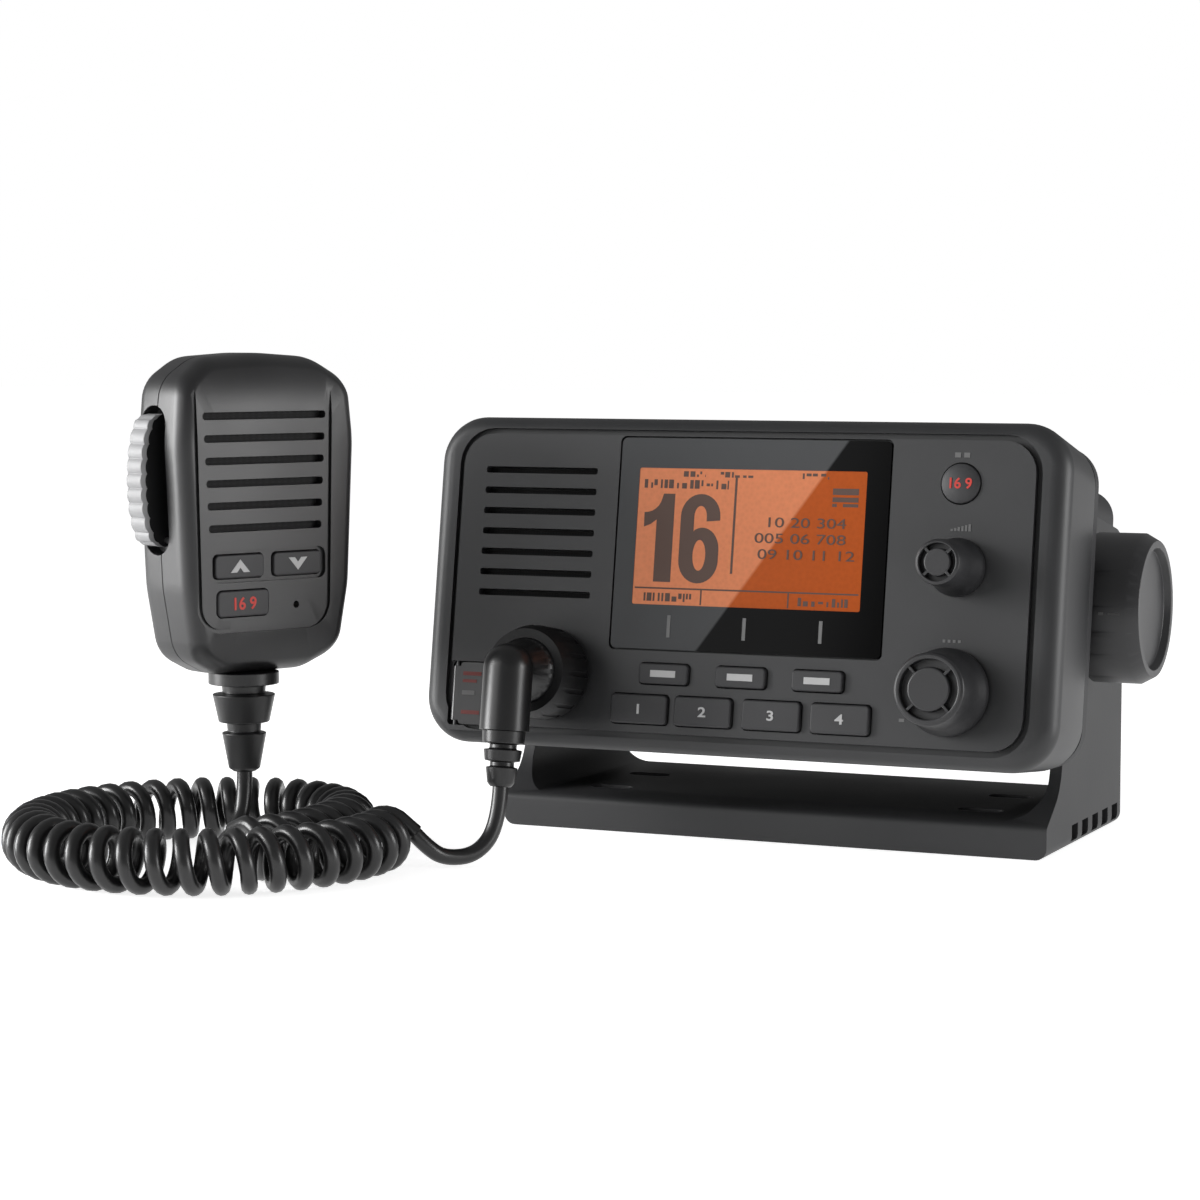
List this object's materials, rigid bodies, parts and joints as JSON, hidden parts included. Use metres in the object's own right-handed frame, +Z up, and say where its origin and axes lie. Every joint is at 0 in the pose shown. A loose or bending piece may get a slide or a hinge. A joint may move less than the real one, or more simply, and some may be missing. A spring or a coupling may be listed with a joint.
{
  "type": "vhf marine radio",
  "caption": "Fixed-mount marine radio on a tilting U bracket, with keys, knobs, backlit screen, plug-in curly cord and a handset with talk lever.",
  "frame": {"origin": "centre of the bracket base's four mounting slots, on the surface that it stands on", "axes": "+X to the right seen from the front, -Y the side that the face looks to, +Z up"},
  "size_m": [0.2537, 0.2362, 0.1258],
  "materials": {
    "black_plastic": "satin",
    "window_gloss": "polished",
    "screen": "backlit amber",
    "mesh": "woven",
    "speaker_cone": "matte",
    "board": "solder mask",
    "silicone": "matte",
    "chassis_paint": "powder coat",
    "steel": "brushed",
    "nickel": "plated",
    "rubber_black": "matte",
    "knob_plastic": "satin",
    "key_rubber": "matte",
    "door_plastic": "satin",
    "red_plastic": "gloss",
    "cord_rubber": "satin",
    "bracket_plastic": "satin",
    "brass": "machined",
    "handset_plastic": "satin",
    "lever_rubber": "ribbed"
  },
  "bodies": {
    "bracket": {"bracket": "bracket_plastic", "pivot_washers": "silicone", "cord_lead": "cord_rubber", "curly_cord": "cord_rubber", "cord_tail": "cord_rubber"},
    "radio": {"front_bezel": "black_plastic", "display_window": "window_gloss", "lcd_module": "screen", "speaker_mesh": "mesh", "speaker": "speaker_cone", "main_board": "board", "keypad_mat": "silicone", "front_gasket": "silicone", "rear_chassis": "chassis_paint", "chassis_screws": "steel", "antenna_socket": "nickel", "data_connector": "black_plastic", "power_gland": "rubber_black", "volume_encoder": "nickel", "select_encoder": "nickel", "door_pin": "steel", "mic_socket": "black_plastic", "socket_nut": "nickel", "plug_elbow": "rubber_black", "plug_strain_relief": "rubber_black", "pivot_inserts": "brass"},
    "volume_knob": {"volume_knob": "knob_plastic", "volume_shaft": "steel"},
    "select_push": {"select_shaft": "steel"},
    "select_knob": {"select_knob": "knob_plastic"},
    "number_key": {"number_key": "key_rubber"},
    "distress_door": {"distress_door": "door_plastic"},
    "distress_button": {"distress_button": "red_plastic"},
    "coupling_ring": {"coupling_ring": "knob_plastic"},
    "right_bracket_knob": {"right_bracket_knob": "knob_plastic", "right_knob_stud": "steel"},
    "left_bracket_knob": {"left_bracket_knob": "knob_plastic", "left_knob_stud": "steel"},
    "handset": {"handset_front": "handset_plastic", "handset_rear": "handset_plastic", "handset_screws": "steel", "hang_stud": "steel", "talk_pin": "steel", "handset_mesh": "mesh", "handset_speaker": "speaker_cone", "handset_board": "board", "mic_capsule": "nickel", "handset_strain_relief": "rubber_black"},
    "talk_lever": {"talk_lever": "lever_rubber"},
    "handset_up_key": {"handset_up_key": "key_rubber"},
    "handset_down_key": {"handset_down_key": "key_rubber"},
    "handset_number_key": {"handset_number_key": "key_rubber"},
    "soft_key_1": {"soft_key_1": "key_rubber"},
    "soft_key_2": {"soft_key_2": "key_rubber"},
    "soft_key_3": {"soft_key_3": "key_rubber"},
    "function_key_1": {"function_key_1": "key_rubber"},
    "function_key_2": {"function_key_2": "key_rubber"},
    "function_key_3": {"function_key_3": "key_rubber"},
    "function_key_4": {"function_key_4": "key_rubber"}
  },
  "joints": [
    {"name": "radio_tilt", "type": "hinge", "parent": "bracket", "child": "radio", "pos_m": [0, 0.00004, 0.0612], "axis": [1, 0, 0], "range_deg": [-9, 10], "deforming": ["cord_lead"]},
    {"name": "right_knob_turn", "type": "hinge", "parent": "bracket", "child": "right_bracket_knob", "pos_m": [0.083, 0.00004, 0.0612], "axis": [1, 0, 0], "range_deg": [0, 360]},
    {"name": "left_knob_turn", "type": "hinge", "parent": "bracket", "child": "left_bracket_knob", "pos_m": [-0.083, 0.00004, 0.0612], "axis": [-1, 0, 0], "range_deg": [0, 360]},
    {"name": "volume_turn", "type": "hinge", "parent": "radio", "child": "volume_knob", "pos_m": [0.0585, -0.06191, 0.07545], "axis": [0, 0.9882, -0.153], "continuous": true},
    {"name": "select_press", "type": "slide", "parent": "radio", "child": "select_push", "axis": [0, 0.9882, -0.153], "range_m": [0, 0.0007], "stiffness_N_per_m": 1500, "springref_m": -0.0006},
    {"name": "select_turn", "type": "hinge", "parent": "select_push", "child": "select_knob", "pos_m": [0.0578, -0.06656, 0.04541], "axis": [0, 0.9882, -0.153], "continuous": true},
    {"name": "number_key_press", "type": "slide", "parent": "radio", "child": "number_key", "axis": [0, 0.9882, -0.153], "range_m": [0, 0.0008], "stiffness_N_per_m": 1000, "springref_m": -0.0006},
    {"name": "distress_door_swing", "type": "hinge", "parent": "radio", "child": "distress_door", "pos_m": [-0.0755, -0.0587, 0.03802], "axis": [0, 0.153, 0.9882], "range_deg": [-95, 0], "stiffness_Nm_per_rad": 0.002, "springref_deg": 11.46},
    {"name": "distress_button_press", "type": "slide", "parent": "radio", "child": "distress_button", "axis": [0, 0.9882, -0.153], "range_m": [0, 0.001], "stiffness_N_per_m": 1000, "springref_m": -0.0006},
    {"name": "coupling_ring_turn", "type": "hinge", "parent": "radio", "child": "coupling_ring", "pos_m": [-0.0483, -0.06658, 0.04531], "axis": [0, 0.9882, -0.153], "range_deg": [-360, 0]},
    {"name": "handset_lift", "type": "slide", "parent": "bracket", "child": "handset", "axis": [0, 0, 1], "range_m": [0, 0.06], "deforming": ["cord_tail"]},
    {"name": "talk_press", "type": "hinge", "parent": "handset", "child": "talk_lever", "pos_m": [-0.12385, -0.12036, 0.08], "axis": [-0.9171, 0.3987, 0], "range_deg": [0, 2.5], "stiffness_Nm_per_rad": 0.6, "springref_deg": -2.86},
    {"name": "handset_up_press", "type": "slide", "parent": "handset", "child": "handset_up_key", "axis": [-0.9171, 0.3987, 0], "range_m": [0, 0.0007], "stiffness_N_per_m": 1000, "springref_m": -0.0006},
    {"name": "handset_down_press", "type": "slide", "parent": "handset", "child": "handset_down_key", "axis": [-0.9171, 0.3987, 0], "range_m": [0, 0.0007], "stiffness_N_per_m": 1000, "springref_m": -0.0006},
    {"name": "handset_number_press", "type": "slide", "parent": "handset", "child": "handset_number_key", "axis": [-0.9171, 0.3987, 0], "range_m": [0, 0.0007], "stiffness_N_per_m": 1000, "springref_m": -0.0006},
    {"name": "soft_key_1_press", "type": "slide", "parent": "radio", "child": "soft_key_1", "axis": [0, 0.9882, -0.153], "range_m": [0, 0.0008], "stiffness_N_per_m": 1000, "springref_m": -0.0006},
    {"name": "soft_key_2_press", "type": "slide", "parent": "radio", "child": "soft_key_2", "axis": [0, 0.9882, -0.153], "range_m": [0, 0.0008], "stiffness_N_per_m": 1000, "springref_m": -0.0006},
    {"name": "soft_key_3_press", "type": "slide", "parent": "radio", "child": "soft_key_3", "axis": [0, 0.9882, -0.153], "range_m": [0, 0.0008], "stiffness_N_per_m": 1000, "springref_m": -0.0006},
    {"name": "function_key_1_press", "type": "slide", "parent": "radio", "child": "function_key_1", "axis": [0, 0.9882, -0.153], "range_m": [0, 0.0008], "stiffness_N_per_m": 1000, "springref_m": -0.0006},
    {"name": "function_key_2_press", "type": "slide", "parent": "radio", "child": "function_key_2", "axis": [0, 0.9882, -0.153], "range_m": [0, 0.0008], "stiffness_N_per_m": 1000, "springref_m": -0.0006},
    {"name": "function_key_3_press", "type": "slide", "parent": "radio", "child": "function_key_3", "axis": [0, 0.9882, -0.153], "range_m": [0, 0.0008], "stiffness_N_per_m": 1000, "springref_m": -0.0006},
    {"name": "function_key_4_press", "type": "slide", "parent": "radio", "child": "function_key_4", "axis": [0, 0.9882, -0.153], "range_m": [0, 0.0008], "stiffness_N_per_m": 1000, "springref_m": -0.0006}
  ]
}
